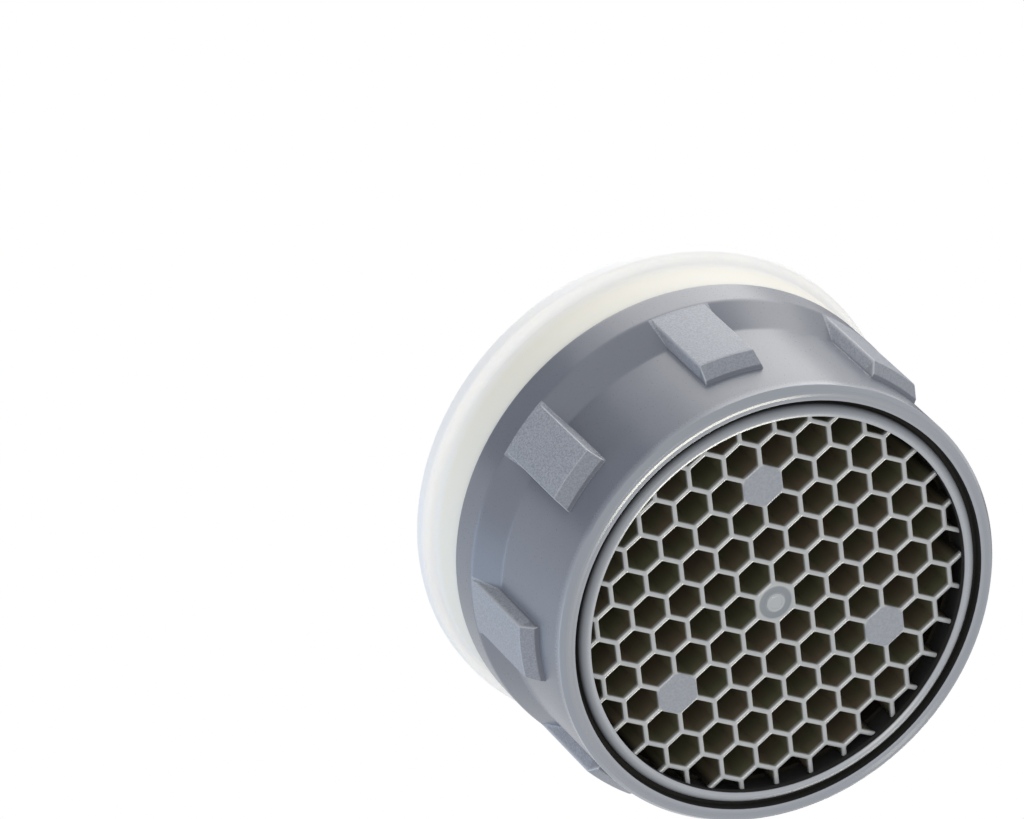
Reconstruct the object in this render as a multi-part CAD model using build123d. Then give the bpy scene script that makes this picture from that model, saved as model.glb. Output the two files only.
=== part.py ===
"""Tap aerator insert: moulded housing with lugs, honeycomb outlet, mixing grids, splitter, sieve and seal.

Millimetres, +Z towards the inlet. The origin is the centre of the flat outlet rim, which stands on Z = 0.
"""
from build123d import *
import math
import os

# Honeycomb at the outlet
CELL_SIDES = 6
CELL_PITCH = 1.6
CELL_WALL = 0.26
HONEYCOMB_RADIUS = 8.62
HONEYCOMB_RECESS = 0.54
HONEYCOMB_DEPTH = 3.0
FREE_END_LENGTH = 1.06
FILLED_CELLS = ((0, 0), (2, 2), (-4, 2), (2, -4))
GATE_MARK_RADIUS = 0.42
GATE_MARK_HEIGHT = 0.04

# Outlet face of the housing, from the honeycomb outwards
WALL_END_GAP = 0.16
LIP_COVER = 0.04
LIP_WIDTH = 0.41
LIP_RECESS = 0.08
LIP_BACK_GAP = 0.1
LIP_CHAMFER = 0.21
GROOVE_WIDTH = 0.38
GROOVE_DEPTH = 0.62
RIM_WIDTH = 0.41
RIM_CHAMFER_WIDTH = 0.17
RIM_CHAMFER_HEIGHT = 0.3

# Side of the housing
WALL_THICKNESS = 0.85
WALL_DRAFT_DEG = 0.5
FLANGE_STEP = 0.65
FLANGE_HEIGHT = 1.67
FLANGE_CONE_HEIGHT = 1.7
SOCKET_STEP = 0.3
SOCKET_DEPTH = 2.17

# Lugs round the side
LUG_COUNT = 8
LUG_WIDTH = 2.62
LUG_SIDE_DRAFT_DEG = 8.0
LUG_FACE_DRAFT_DEG = 0.5
LUG_TIP_HEIGHT = 2.32
LUG_TIP_STEP = 0.18
LUG_TIP_CHAMFER = 0.62

# Mixing grids
GRID_HEIGHT = 1.8
GRID_RIM_WIDTH = 0.8
GRID_BAR_WIDTH = 0.55
GRID_BAR_PITCH = 1.5
GRID_BAR_HEIGHT = 0.9

# Jet splitter
SPLITTER_WALL = 0.75
SPLITTER_PLATE = 1.2
JET_SLOT_COUNT = 16
JET_SLOT_WIDTH = 0.8
JET_SLOT_LENGTH = 1.5
JET_SLOT_INSET = 2.7

# Seal ring
SEAL_COLLAR_INSET = 0.04
SEAL_COLLAR_HEIGHT = 2.53
SEAL_FLANGE_STEP = 0.45
SEAL_FLANGE_THICKNESS = 0.85
SEAL_CHAMFER = 0.2
SEAL_LIP_THICKNESS = 1.25
SEAL_LIP_OVERLAP = 0.55

# Dome sieve
SIEVE_RIM_HEIGHT = 1.1
SIEVE_RIM_LEDGE = 0.6
SIEVE_RISE = 2.6
SIEVE_SHOULDER = 2.5
SIEVE_SKIN = 0.5
SIEVE_SLOT_WIDTH = 0.7
SIEVE_SLOT_COUNT = 16
SIEVE_SLOT_MARGIN = 0.35
SIEVE_TOP_SLOT_COUNT = 8

# Play between pieces that slide together, and above the stack of grids
SLIP = 0.05
STACK_PLAY = 0.06

# Radii of the housing, built up from the honeycomb
lip_inner = HONEYCOMB_RADIUS - LIP_COVER
lip_outer = lip_inner + LIP_WIDTH
rim_inner = lip_outer + GROOVE_WIDTH
rim_outer = rim_inner + RIM_WIDTH
wall_at_outlet = rim_outer + RIM_CHAMFER_WIDTH
throat = HONEYCOMB_RADIUS + WALL_END_GAP
bore = wall_at_outlet - WALL_THICKNESS
socket = bore + SOCKET_STEP

# Heights of the stack inside the housing, from the outlet up
ring_seat = HONEYCOMB_RECESS + FREE_END_LENGTH
lower_grid_seat = HONEYCOMB_RECESS + HONEYCOMB_DEPTH
upper_grid_seat = lower_grid_seat + GRID_HEIGHT
splitter_seat = upper_grid_seat + GRID_HEIGHT + STACK_PLAY
housing_top = splitter_seat + SOCKET_DEPTH
flange_bottom = housing_top - FLANGE_HEIGHT
cone_bottom = flange_bottom - FLANGE_CONE_HEIGHT

# The wall widens slightly from the outlet to the flange
wall_at_cone = wall_at_outlet + (cone_bottom - RIM_CHAMFER_HEIGHT) * math.tan(math.radians(WALL_DRAFT_DEG))
flange = wall_at_cone + FLANGE_STEP

# Heights and radii at the inlet end
seal_collar = flange - SEAL_COLLAR_INSET
seal_collar_top = housing_top + SEAL_COLLAR_HEIGHT
seal_top = seal_collar_top + SEAL_FLANGE_THICKNESS
seal_flange = seal_collar + SEAL_FLANGE_STEP
splitter_top = seal_top - SEAL_LIP_THICKNESS
splitter_outer = socket - SLIP
splitter_cup = splitter_outer - SPLITTER_WALL
sieve_ledge = splitter_top - SIEVE_RIM_HEIGHT
sieve_ledge_inner = splitter_cup - SIEVE_RIM_LEDGE
seal_hole = splitter_cup - SEAL_LIP_OVERLAP
sieve_foot = seal_hole - SLIP
sieve_top = seal_top + SIEVE_RISE


def lathe(*corners):
    """Ring or disc turned about Z from (radius, height) corners."""
    points = [(radius, 0, height) for radius, height in corners]
    return revolve(make_face(Polyline(*points, close=True)), Axis.Z)


def wall_radius(height):
    """Outer radius of the drafted wall at a height."""
    return wall_at_outlet + (height - RIM_CHAMFER_HEIGHT) * math.tan(math.radians(WALL_DRAFT_DEG))


def make_lugs():
    """Lugs flush with the flange, chamfered down to a low end face, with drafted sides and faces."""
    root = bore + WALL_THICKNESS / 2
    tip_top = LUG_TIP_HEIGHT + LUG_TIP_CHAMFER
    tip_radius = flange - (flange_bottom - tip_top) * math.tan(math.radians(LUG_FACE_DRAFT_DEG))
    band = lathe(
        (root, LUG_TIP_HEIGHT),
        (wall_radius(LUG_TIP_HEIGHT) + LUG_TIP_STEP, LUG_TIP_HEIGHT),
        (tip_radius, tip_top),
        (flange, flange_bottom),
        (flange, housing_top),
        (root, housing_top),
    )
    # Each lug is a tapered block standing out from the wall, as long as the housing
    draft = math.tan(math.radians(LUG_SIDE_DRAFT_DEG))
    root_width = LUG_WIDTH + 2 * draft * (wall_radius(LUG_TIP_HEIGHT) - root)
    face = Plane((root, 0, housing_top / 2), x_dir=(0, 1, 0), z_dir=(1, 0, 0))
    reach = 2 * (flange - root)
    block = extrude(face * Rectangle(root_width, 2 * housing_top), reach, taper=LUG_SIDE_DRAFT_DEG)
    blocks = [Rot(0, 0, 360 / LUG_COUNT * k) * block for k in range(LUG_COUNT)]
    return [band & one for one in blocks]


def make_housing():
    """Shell with outlet rim, groove and lip below, drafted wall with lugs, and a flanged inlet socket."""
    lip_back = HONEYCOMB_RECESS - LIP_BACK_GAP
    shell = lathe(
        (rim_inner, 0),
        (rim_outer, 0),
        (wall_at_outlet, RIM_CHAMFER_HEIGHT),
        (wall_at_cone, cone_bottom),
        (flange, flange_bottom),
        (flange, housing_top),
        (socket, housing_top),
        (socket, splitter_seat),
        (bore, splitter_seat),
        (bore, ring_seat),
        (throat, ring_seat),
        (throat, lip_back),
        (lip_inner, lip_back),
        (lip_inner, LIP_RECESS),
        (lip_outer - LIP_CHAMFER, LIP_RECESS),
        (lip_outer, LIP_RECESS + LIP_CHAMFER),
        (lip_outer, GROOVE_DEPTH),
        (rim_inner, GROOVE_DEPTH),
    )
    return shell + make_lugs()


def make_cells():
    """Open cells of the honeycomb, cut off at its edge, leaving the middle cell and three pads filled."""
    half_corner = math.pi / CELL_SIDES
    apothem = (CELL_PITCH - CELL_WALL) / 2
    hexagon = RegularPolygon(apothem, CELL_SIDES, major_radius=False, rotation=math.degrees(half_corner))
    corner = apothem / math.cos(half_corner)
    row_step = CELL_PITCH * math.cos(half_corner)
    disc = Circle(HONEYCOMB_RADIUS)
    reach = 2 * math.ceil(HONEYCOMB_RADIUS / CELL_PITCH)
    steps = range(-reach, reach + 1)
    cells = []
    for i, j in ((i, j) for i in steps for j in steps if (i, j) not in FILLED_CELLS):
        x = CELL_PITCH * (i + j / 2)
        y = row_step * j
        from_centre = math.hypot(x, y)
        if from_centre + corner < HONEYCOMB_RADIUS:
            cells.append(Pos(x, y) * hexagon)
        elif from_centre - apothem < HONEYCOMB_RADIUS:
            cells.append(Pos(x, y) * hexagon & disc)
    return cells


def make_honeycomb():
    """Honeycomb disc with free wall ends at the outlet and a seating ring round its inlet side."""
    ring = bore - SLIP
    face = Pos(0, 0, HONEYCOMB_RECESS)
    web = extrude(face * (Circle(ring) - make_cells()), HONEYCOMB_DEPTH)
    free_ends = extrude(face * (Circle(bore) - Circle(HONEYCOMB_RADIUS)), FREE_END_LENGTH)
    gate_mark = extrude(face * Circle(GATE_MARK_RADIUS), -GATE_MARK_HEIGHT)
    return web - free_ends + gate_mark


def make_grid(seat, turn):
    """Ring with parallel bars across its lower part, turned about the axis."""
    outer = bore - SLIP
    inner = outer - GRID_RIM_WIDTH
    rim = lathe((inner, seat), (outer, seat), (outer, seat + GRID_HEIGHT), (inner, seat + GRID_HEIGHT))
    half_count = math.floor((inner - GRID_BAR_WIDTH) / GRID_BAR_PITCH)
    steps = range(-half_count, half_count + 1)
    bars = [Pos(0, GRID_BAR_PITCH * k) * Rectangle(2 * outer, GRID_BAR_WIDTH) for k in steps]
    barred = (Sketch() + bars) & Circle(inner + GRID_RIM_WIDTH / 2)
    return rim + Rot(0, 0, turn) * extrude(Pos(0, 0, seat) * barred, GRID_BAR_HEIGHT)


def make_splitter():
    """Cup that stands in the housing's socket, with a ring of jet slots through its plate."""
    plate_top = splitter_seat + SPLITTER_PLATE
    cup = lathe(
        (0, splitter_seat),
        (splitter_outer, splitter_seat),
        (splitter_outer, splitter_top),
        (splitter_cup, splitter_top),
        (splitter_cup, sieve_ledge),
        (sieve_ledge_inner, sieve_ledge),
        (sieve_ledge_inner, plate_top),
        (0, plate_top),
    )
    slot_centre = Pos(splitter_outer - JET_SLOT_INSET, 0, splitter_seat)
    slot = slot_centre * extrude(Rectangle(JET_SLOT_LENGTH, JET_SLOT_WIDTH), SPLITTER_PLATE)
    return cup - [Rot(0, 0, 360 / JET_SLOT_COUNT * k) * slot for k in range(JET_SLOT_COUNT)]


def make_seal():
    """Soft collar on the housing's top edge, with a wider flange and a lip that holds the sieve down."""
    return lathe(
        (socket, housing_top),
        (seal_collar, housing_top),
        (seal_collar, seal_collar_top),
        (seal_flange - SEAL_CHAMFER, seal_collar_top),
        (seal_flange, seal_collar_top + SEAL_CHAMFER),
        (seal_flange, seal_top - SEAL_CHAMFER),
        (seal_flange - SEAL_CHAMFER, seal_top),
        (seal_hole, seal_top),
        (seal_hole, splitter_top),
        (socket, splitter_top),
    )


def make_sieve():
    """Slotted strainer: a rim held under the seal, a sloping skirt and a flat crown."""
    crown = sieve_foot - SIEVE_SHOULDER
    skirt_height = sieve_top - splitter_top
    skin_across = SIEVE_SKIN * math.hypot(SIEVE_SHOULDER, skirt_height) / skirt_height
    inner_crown = crown - skin_across + SIEVE_SKIN * SIEVE_SHOULDER / skirt_height
    body = lathe(
        (sieve_foot - skin_across, sieve_ledge),
        (splitter_cup - SLIP, sieve_ledge),
        (splitter_cup - SLIP, splitter_top),
        (sieve_foot, splitter_top),
        (crown, sieve_top),
        (0, sieve_top),
        (0, sieve_top - SIEVE_SKIN),
        (inner_crown, sieve_top - SIEVE_SKIN),
        (sieve_foot - skin_across, splitter_top),
    )
    # Skirt slots reach from just above the seal to just below the crown
    slot_bottom = seal_top + SIEVE_SLOT_MARGIN
    slot_top = sieve_top - SIEVE_SKIN - SIEVE_SLOT_MARGIN
    skirt_slot = Pos(sieve_foot, 0, (slot_bottom + slot_top) / 2) * Box(
        2 * (sieve_foot - crown), SIEVE_SLOT_WIDTH, slot_top - slot_bottom
    )
    skirt_step = 360 / SIEVE_SLOT_COUNT
    skirt_slots = [Rot(0, 0, skirt_step * k) * skirt_slot for k in range(SIEVE_SLOT_COUNT)]
    # Crown slots run outwards from the middle in one ring
    crown_outer = inner_crown - SIEVE_SLOT_MARGIN
    crown_inner = SIEVE_SLOT_WIDTH * SIEVE_TOP_SLOT_COUNT / math.pi
    crown_slot = Pos((crown_inner + crown_outer) / 2, 0, sieve_top) * Box(
        crown_outer - crown_inner, SIEVE_SLOT_WIDTH, 4 * SIEVE_SKIN
    )
    crown_step = 360 / SIEVE_TOP_SLOT_COUNT
    crown_slots = [Rot(0, 0, crown_step * k) * crown_slot for k in range(SIEVE_TOP_SLOT_COUNT)]
    return body - skirt_slots - crown_slots


PIECES = {
    "housing": make_housing(),
    "honeycomb_straightener": make_honeycomb(),
    "lower_mixing_grid": make_grid(lower_grid_seat, 0),
    "upper_mixing_grid": make_grid(upper_grid_seat, 90),
    "jet_splitter": make_splitter(),
    "seal_ring": make_seal(),
    "dome_sieve": make_sieve(),
}

os.makedirs("parts", exist_ok=True)
for name, piece in PIECES.items():
    export_step(piece, f"parts/{name}.step")
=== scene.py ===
"""Tap aerator insert: lugged housing, honeycomb outlet, milky seal ring, sieve and inner grids.

The pieces' sizes are in millimetres and become metres when a mesh is made; the studio's are in
metres. +Z points to the inlet.
"""

import logging
import math
from dataclasses import dataclass, field
from enum import Enum
from typing import Sequence, Union

import bmesh
import bpy
import numpy as np
from mathutils import Matrix, Vector


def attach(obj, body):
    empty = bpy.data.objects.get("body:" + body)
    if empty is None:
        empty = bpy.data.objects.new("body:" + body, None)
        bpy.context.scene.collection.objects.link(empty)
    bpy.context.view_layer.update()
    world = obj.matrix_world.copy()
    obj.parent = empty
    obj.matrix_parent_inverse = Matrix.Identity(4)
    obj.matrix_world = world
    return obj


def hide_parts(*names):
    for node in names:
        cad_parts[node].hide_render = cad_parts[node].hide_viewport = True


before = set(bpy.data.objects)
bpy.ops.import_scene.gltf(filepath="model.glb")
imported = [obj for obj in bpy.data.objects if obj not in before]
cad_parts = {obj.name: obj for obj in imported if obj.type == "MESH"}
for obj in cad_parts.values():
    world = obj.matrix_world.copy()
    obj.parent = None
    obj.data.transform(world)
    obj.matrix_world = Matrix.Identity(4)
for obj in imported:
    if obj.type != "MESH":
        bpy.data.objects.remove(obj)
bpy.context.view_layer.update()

LOG = logging.getLogger("aerator")
ROOT_BODY = "root"
MM = 0.001
# In millimetres: points that count as one, a radius that counts as the axis, a small margin.
SAME_POINT = 1e-4
ON_AXIS = 1e-6
NEAR = 0.01
SIXTH_DEG = 60.0
CUTTER_SHARP_DEG = 30.0

Point = tuple[float, float, float]
Colour = tuple[float, float, float]
Flat = tuple[float, float]
Span = tuple[float, float]
Amount = Union[float, np.ndarray]
Piece = bpy.types.Object
Finish = bpy.types.Material
Socket = bpy.types.NodeSocket

# Ranges of a noise that are spread out; a narrow one gives sharper patches.
FULL: Span = (0.0, 1.0)
GLOSS_SPAN: Span = (0.3, 0.7)
CLOUD_SPAN: Span = (0.35, 0.65)
SPECK_SPAN: Span = (0.38, 0.62)
PATCH_SPAN: Span = (0.42, 0.58)


class Slot(Enum):
    """Material slots of the part's record."""

    HOUSING = "housing"
    HONEYCOMB = "honeycomb"
    SEAL = "seal"
    SIEVE = "sieve"


class Cut(Enum):
    """How one closed mesh changes another."""

    KEEP_COMMON = "INTERSECT"
    JOIN = "UNION"
    TAKE_AWAY = "DIFFERENCE"


class Mask(Enum):
    """Zones of the housing's surface, kept on its mesh from 0 to 1."""

    LUG = "lug_face"
    # Painted highlight: lightens the lugs' edges and the lip's and rim's inner edges.
    EDGE = "lug_edge"
    OUTLET = "outlet_front"
    # Painted shade: darkens the groove, the lip's outer slope and the housing's inside.
    PAINTED_SHADE = "deep"


@dataclass(frozen=True)
class Corner:
    """A corner of a turned outline, with the radius of its rounding."""

    radius: float
    height: float
    rounding: float = 0.0


def round_corners(corners: Sequence[Corner], closed: bool, steps: int = 6) -> list[Flat]:
    """Turn corners into outline points, with an arc at each rounded corner.

    Args:
        corners: Corners in order along the outline.
        closed: Whether the last corner leads back to the first.
        steps: Number of straight pieces in each arc.

    Returns:
        Radius and height of each outline point.
    """
    points: list[Flat] = []
    count = len(corners)
    for index, corner in enumerate(corners):
        here = np.array((corner.radius, corner.height))
        at_end = not closed and index in (0, count - 1)
        if corner.rounding <= 0 or at_end:
            points.append((corner.radius, corner.height))
            continue
        before = corners[index - 1]
        after = corners[(index + 1) % count]
        back = np.array((before.radius, before.height)) - here
        ahead = np.array((after.radius, after.height)) - here
        back /= np.linalg.norm(back)
        ahead /= np.linalg.norm(ahead)
        half = math.acos(float(np.clip(back @ ahead, -1.0, 1.0))) / 2
        middle = back + ahead
        centre = here + middle / np.linalg.norm(middle) * corner.rounding / math.sin(half)
        start = here + back * corner.rounding / math.tan(half) - centre
        end = here + ahead * corner.rounding / math.tan(half) - centre
        first = math.atan2(start[1], start[0])
        sweep = math.atan2(end[1], end[0]) - first
        sweep = (sweep + math.pi) % (2 * math.pi) - math.pi
        for step in range(steps + 1):
            angle = first + sweep * step / steps
            way = np.array((math.cos(angle), math.sin(angle)))
            points.append(tuple((centre + corner.rounding * way).tolist()))
    return points


def link(name: str, data: bpy.types.ID) -> Piece:
    """Make an object and put it in the scene.

    Args:
        name: Name of the object.
        data: Its mesh, lamp or camera.

    Returns:
        The new object.
    """
    made = bpy.data.objects.new(name, data)
    bpy.context.scene.collection.objects.link(made)
    return made


def tidy_mesh(mesh: bpy.types.Mesh, sharp_deg: float) -> None:
    """Merge doubled points, face all normals outwards and shade smooth up to an angle.

    Args:
        mesh: The mesh to tidy.
        sharp_deg: Edges that turn more than this stay sharp.
    """
    work = bmesh.new()
    work.from_mesh(mesh)
    bmesh.ops.remove_doubles(work, verts=work.verts, dist=SAME_POINT * MM)
    bmesh.ops.recalc_face_normals(work, faces=work.faces)
    work.to_mesh(mesh)
    work.free()
    mesh.shade_smooth()
    mesh.set_sharp_from_angle(angle=math.radians(sharp_deg))


@dataclass
class Skin:
    """Points and faces of one closed mesh."""

    points: list[Point] = field(default_factory=list)
    faces: list[tuple[int, ...]] = field(default_factory=list)

    def add_ring(self, ring: Sequence[Point]) -> list[int]:
        """Add points.

        Args:
            ring: The points in order.

        Returns:
            Their numbers in the skin.
        """
        first = len(self.points)
        self.points.extend(ring)
        return list(range(first, first + len(ring)))

    def bridge(self, one: Sequence[int], other: Sequence[int]) -> None:
        """Join two rings with faces, where a ring of one point is a pole.

        Args:
            one: Numbers of the first ring's points.
            other: Numbers of the second ring's points.
        """
        count = max(len(one), len(other))
        for step in range(count):
            after = (step + 1) % count
            if len(one) == 1 and len(other) > 1:
                self.faces.append((one[0], other[after], other[step]))
            elif len(other) == 1 and len(one) > 1:
                self.faces.append((one[step], one[after], other[0]))
            elif len(one) > 1:
                self.faces.append((one[step], one[after], other[after], other[step]))

    def to_object(self, name: str, sharp_deg: float) -> Piece:
        """Make a Blender object from the skin.

        Args:
            name: Name of the object.
            sharp_deg: Edges that turn more than this stay sharp.

        Returns:
            The new object.
        """
        mesh = bpy.data.meshes.new(name)
        mesh.from_pydata((np.array(self.points, float) * MM).tolist(), [], self.faces)
        tidy_mesh(mesh, sharp_deg)
        return link(name, mesh)


def turn(outline: Sequence[Flat], segments: int) -> Skin:
    """Turn a closed outline of radius and height about Z.

    Args:
        outline: Outline points; a point on the axis becomes a pole.
        segments: Number of steps round the axis.

    Returns:
        The closed skin.
    """
    skin = Skin()
    angles = np.linspace(0, 2 * math.pi, segments, endpoint=False)
    ways = [(math.cos(angle), math.sin(angle)) for angle in angles]
    rings = []
    for radius, height in outline:
        if radius < ON_AXIS:
            rings.append(skin.add_ring([(0.0, 0.0, height)]))
        else:
            rings.append(skin.add_ring([(radius * x, radius * y, height) for x, y in ways]))
    for index, ring in enumerate(rings):
        skin.bridge(ring, rings[(index + 1) % len(rings)])
    return skin


def change(target: Piece, tool: Piece, cut: Cut) -> None:
    """Change one closed mesh by another and remove the tool.

    Args:
        target: Object that is changed.
        tool: Object that changes it.
        cut: What is done.
    """
    step = target.modifiers.new("cut", "BOOLEAN")
    step.operation = cut.value
    step.solver = "MANIFOLD"
    step.object = tool
    depsgraph = bpy.context.evaluated_depsgraph_get()
    result = bpy.data.meshes.new_from_object(target.evaluated_get(depsgraph))
    target.modifiers.remove(step)
    old = target.data
    target.data = result
    bpy.data.meshes.remove(old)
    bpy.data.objects.remove(tool)


def smooth_min(one: Amount, other: Amount, blend: Amount) -> Amount:
    """Lesser of two amounts, with the crease between them rounded over."""
    near = np.maximum(blend - np.abs(one - other), 0.0) / blend
    return np.minimum(one, other) - near * near * blend / 4


def smooth_max(one: Amount, other: Amount, blend: Amount) -> Amount:
    """Greater of two amounts, with the crease between them filled."""
    return -smooth_min(-one, -other, blend)


@dataclass(frozen=True)
class Pattern:
    """Noise of one grain size, with finer layers and the range of it that is spread out."""

    size_mm: float
    layers: float
    span: Span


class Wiring:
    """Node tree with short calls for its nodes and links."""

    def __init__(self, tree: bpy.types.NodeTree) -> None:
        """Take over a tree and empty it."""
        self.tree = tree
        tree.nodes.clear()

    def add(self, kind: str, **settings: object) -> bpy.types.Node:
        """Add a node.

        Args:
            kind: Blender's name for the node.
            **settings: Properties to set on it.

        Returns:
            The new node.
        """
        node = self.tree.nodes.new(kind)
        for key, value in settings.items():
            setattr(node, key, value)
        return node

    def join(self, output: Socket, target: Socket) -> None:
        """Link an output to an input."""
        self.tree.links.new(output, target)

    def ramp(self, value: Socket, span: Span, to: Span = FULL) -> Socket:
        """Carry a value from one range to another, held at the ends.

        Args:
            value: The value.
            span: Range that it runs through.
            to: Range that it is carried to.

        Returns:
            The carried value.
        """
        node = self.add("ShaderNodeMapRange")
        self.join(value, node.inputs["Value"])
        for name, end in zip(("From Min", "From Max", "To Min", "To Max"), (*span, *to)):
            node.inputs[name].default_value = end
        return node.outputs["Result"]

    def reckon(self, operation: str, one: Socket, other: Socket) -> Socket:
        """Work out two values.

        Args:
            operation: Blender's name for what is done.
            one: First value.
            other: Second value.

        Returns:
            The result, held from 0 to 1.
        """
        node = self.add("ShaderNodeMath", operation=operation, use_clamp=True)
        self.join(one, node.inputs[0])
        self.join(other, node.inputs[1])
        return node.outputs["Value"]

    def mix_shaders(self, factor: Socket, one: Socket, other: Socket, target: Socket) -> None:
        """Send a mix of two shaders to an output.

        Args:
            factor: Share of the second shader.
            one: First shader.
            other: Second shader.
            target: Input of the output node.
        """
        node = self.add("ShaderNodeMixShader")
        for value, socket in zip((factor, one, other), node.inputs):
            self.join(value, socket)
        self.join(node.outputs["Shader"], target)


class Graph(Wiring):
    """Node tree of one material with a surface shader."""

    def __init__(self, name: str) -> None:
        """Start a material with a surface shader and its output.

        Args:
            name: Name of the material.
        """
        self.material = bpy.data.materials.new(name)
        self.material.use_nodes = True
        super().__init__(self.material.node_tree)
        self.shader = self.add("ShaderNodeBsdfPrincipled")
        output = self.add("ShaderNodeOutputMaterial")
        self.join(self.shader.outputs["BSDF"], output.inputs["Surface"])
        self.where = self.add("ShaderNodeTexCoord").outputs["Object"]

    def feed(self, value: Socket, name: str) -> None:
        """Link a value to an input of the surface shader."""
        self.join(value, self.shader.inputs[name])

    def coordinates(self) -> tuple[Socket, ...]:
        """Take a place apart.

        Returns:
            Its X, Y and Z.
        """
        node = self.add("ShaderNodeSeparateXYZ")
        self.join(self.where, node.inputs["Vector"])
        return tuple(node.outputs)

    def noise(self, pattern: Pattern) -> Socket:
        """Add a noise.

        Args:
            pattern: Its grain.

        Returns:
            The noise's value.
        """
        node = self.add("ShaderNodeTexNoise")
        node.inputs["Scale"].default_value = 1.0 / (pattern.size_mm * MM)
        node.inputs["Detail"].default_value = pattern.layers
        self.join(self.where, node.inputs["Vector"])
        return node.outputs["Fac"]

    def patches(self, pattern: Pattern) -> Socket:
        """Patches of a noise, spread from 0 to 1."""
        return self.ramp(self.noise(pattern), pattern.span)

    def blend(
        self, factor: Socket, one: Union[Socket, Colour], other: Union[Socket, Colour]
    ) -> Socket:
        """Mix two colours.

        Args:
            factor: Share of the second colour.
            one: First colour, written or from a node.
            other: Second colour, written or from a node.

        Returns:
            The mixed colour.
        """
        node = self.add("ShaderNodeMix", data_type="RGBA")
        self.join(factor, node.inputs["Factor"])
        for value, name in ((one, "A"), (other, "B")):
            socket = next(s for s in node.inputs if s.name == name and s.type == "RGBA")
            if isinstance(value, Socket):
                self.join(value, socket)
            else:
                socket.default_value = (*value, 1.0)
        return next(s for s in node.outputs if s.type == "RGBA")

    def bump(self, height: Socket, depth_mm: float, strength: Union[Socket, float]) -> None:
        """Roughen the surface by a height.

        Args:
            height: The height, from 0 to 1.
            depth_mm: Depth that a height of 1 stands for.
            strength: How much of it shows, written or from a node.
        """
        node = self.add("ShaderNodeBump")
        node.inputs["Distance"].default_value = depth_mm * MM
        if isinstance(strength, Socket):
            self.join(strength, node.inputs["Strength"])
        else:
            node.inputs["Strength"].default_value = strength
        self.join(height, node.inputs["Height"])
        self.feed(node.outputs["Normal"], "Normal")

    def skin(self, pattern: Pattern, gloss: Span, depth_mm: float, strength: float) -> None:
        """Give the surface an uneven gloss and a faint bump from one noise.

        Args:
            pattern: Grain of the noise.
            gloss: Least and greatest roughness.
            depth_mm: Depth of the bump.
            strength: How much of the bump shows.
        """
        noise = self.noise(pattern)
        self.feed(self.ramp(noise, pattern.span, gloss), "Roughness")
        self.bump(noise, depth_mm, strength)


@dataclass(frozen=True)
class MouldedPlastic:
    """Satin moulded plastic with faint mottling and a fine skin."""

    name: str
    colour: Colour
    mottle: Colour
    roughness: Span
    clouds: Pattern = Pattern(2.4, 3.0, CLOUD_SPAN)
    skin: Pattern = Pattern(0.16, 4.0, GLOSS_SPAN)
    skin_depth_mm: float = 0.002
    skin_strength: float = 0.6

    def material(self) -> Finish:
        """Make the material.

        Returns:
            The new material.
        """
        graph = Graph(self.name)
        tone = graph.blend(graph.patches(self.clouds), self.colour, self.mottle)
        graph.feed(tone, "Base Color")
        graph.skin(self.skin, self.roughness, self.skin_depth_mm, self.skin_strength)
        return graph.material


@dataclass(frozen=True)
class HousingPlastic:
    """Grey plastic of the housing: polished walls, grained lugs, a satin outlet, painted shade in
    the groove and recesses, and painted highlights on lug edges, lip and rim.
    """

    name: str = "housing_grey"
    polished: Colour = (0.164, 0.177, 0.216)
    mottle: Colour = (0.176, 0.189, 0.226)
    grained: Colour = (0.385, 0.404, 0.455)
    speckle: Colour = (0.262, 0.277, 0.318)
    # Painted highlight colour on the lugs' edges and the lip's and rim's inner edges.
    painted_highlight: Colour = (0.550, 0.567, 0.605)
    outlet: Colour = (0.297, 0.316, 0.356)
    # Painted shade colour of the groove and the housing's inside.
    painted_shade_tone: Colour = (0.014, 0.0135, 0.012)
    polish: Span = (0.27, 0.34)
    gloss: Span = (0.17, 0.23)
    matt: Span = (0.42, 0.54)
    dull: Span = (0.85, 0.95)
    clouds: Pattern = Pattern(2.6, 3.0, CLOUD_SPAN)
    grain: Pattern = Pattern(0.075, 2.0, SPECK_SPAN)
    grain_depth_mm: float = 0.012
    grain_strength: Span = (0.02, 0.8)

    def material(self) -> Finish:
        """Make the material.

        Returns:
            The new material.
        """
        graph = Graph(self.name)
        lug, edge, outlet, deep = (
            graph.add("ShaderNodeAttribute", attribute_name=mask.value).outputs["Fac"]
            for mask in (Mask.LUG, Mask.EDGE, Mask.OUTLET, Mask.PAINTED_SHADE)
        )
        grain = graph.noise(self.grain)
        lug_tone = graph.blend(graph.ramp(grain, self.grain.span), self.speckle, self.grained)
        tone = graph.blend(graph.patches(self.clouds), self.polished, self.mottle)
        tone = graph.blend(outlet, tone, self.outlet)
        tone = graph.blend(lug, tone, lug_tone)
        # Painted highlight on the edges, then painted shade in the groove and recesses.
        tone = graph.blend(edge, tone, self.painted_highlight)
        graph.feed(graph.blend(deep, tone, self.painted_shade_tone), "Base Color")
        rough = graph.ramp(grain, GLOSS_SPAN, self.polish)
        zones = ((outlet, self.gloss), (lug, self.matt), (edge, self.polish), (deep, self.dull))
        for zone, limits in zones:
            mixed = graph.add("ShaderNodeMix", data_type="FLOAT")
            graph.join(zone, mixed.inputs["Factor"])
            graph.join(rough, mixed.inputs["A"])
            graph.join(graph.ramp(grain, GLOSS_SPAN, limits), mixed.inputs["B"])
            rough = mixed.outputs["Result"]
        graph.feed(rough, "Roughness")
        graph.bump(grain, self.grain_depth_mm, graph.ramp(lug, FULL, self.grain_strength))
        return graph.material


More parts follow.
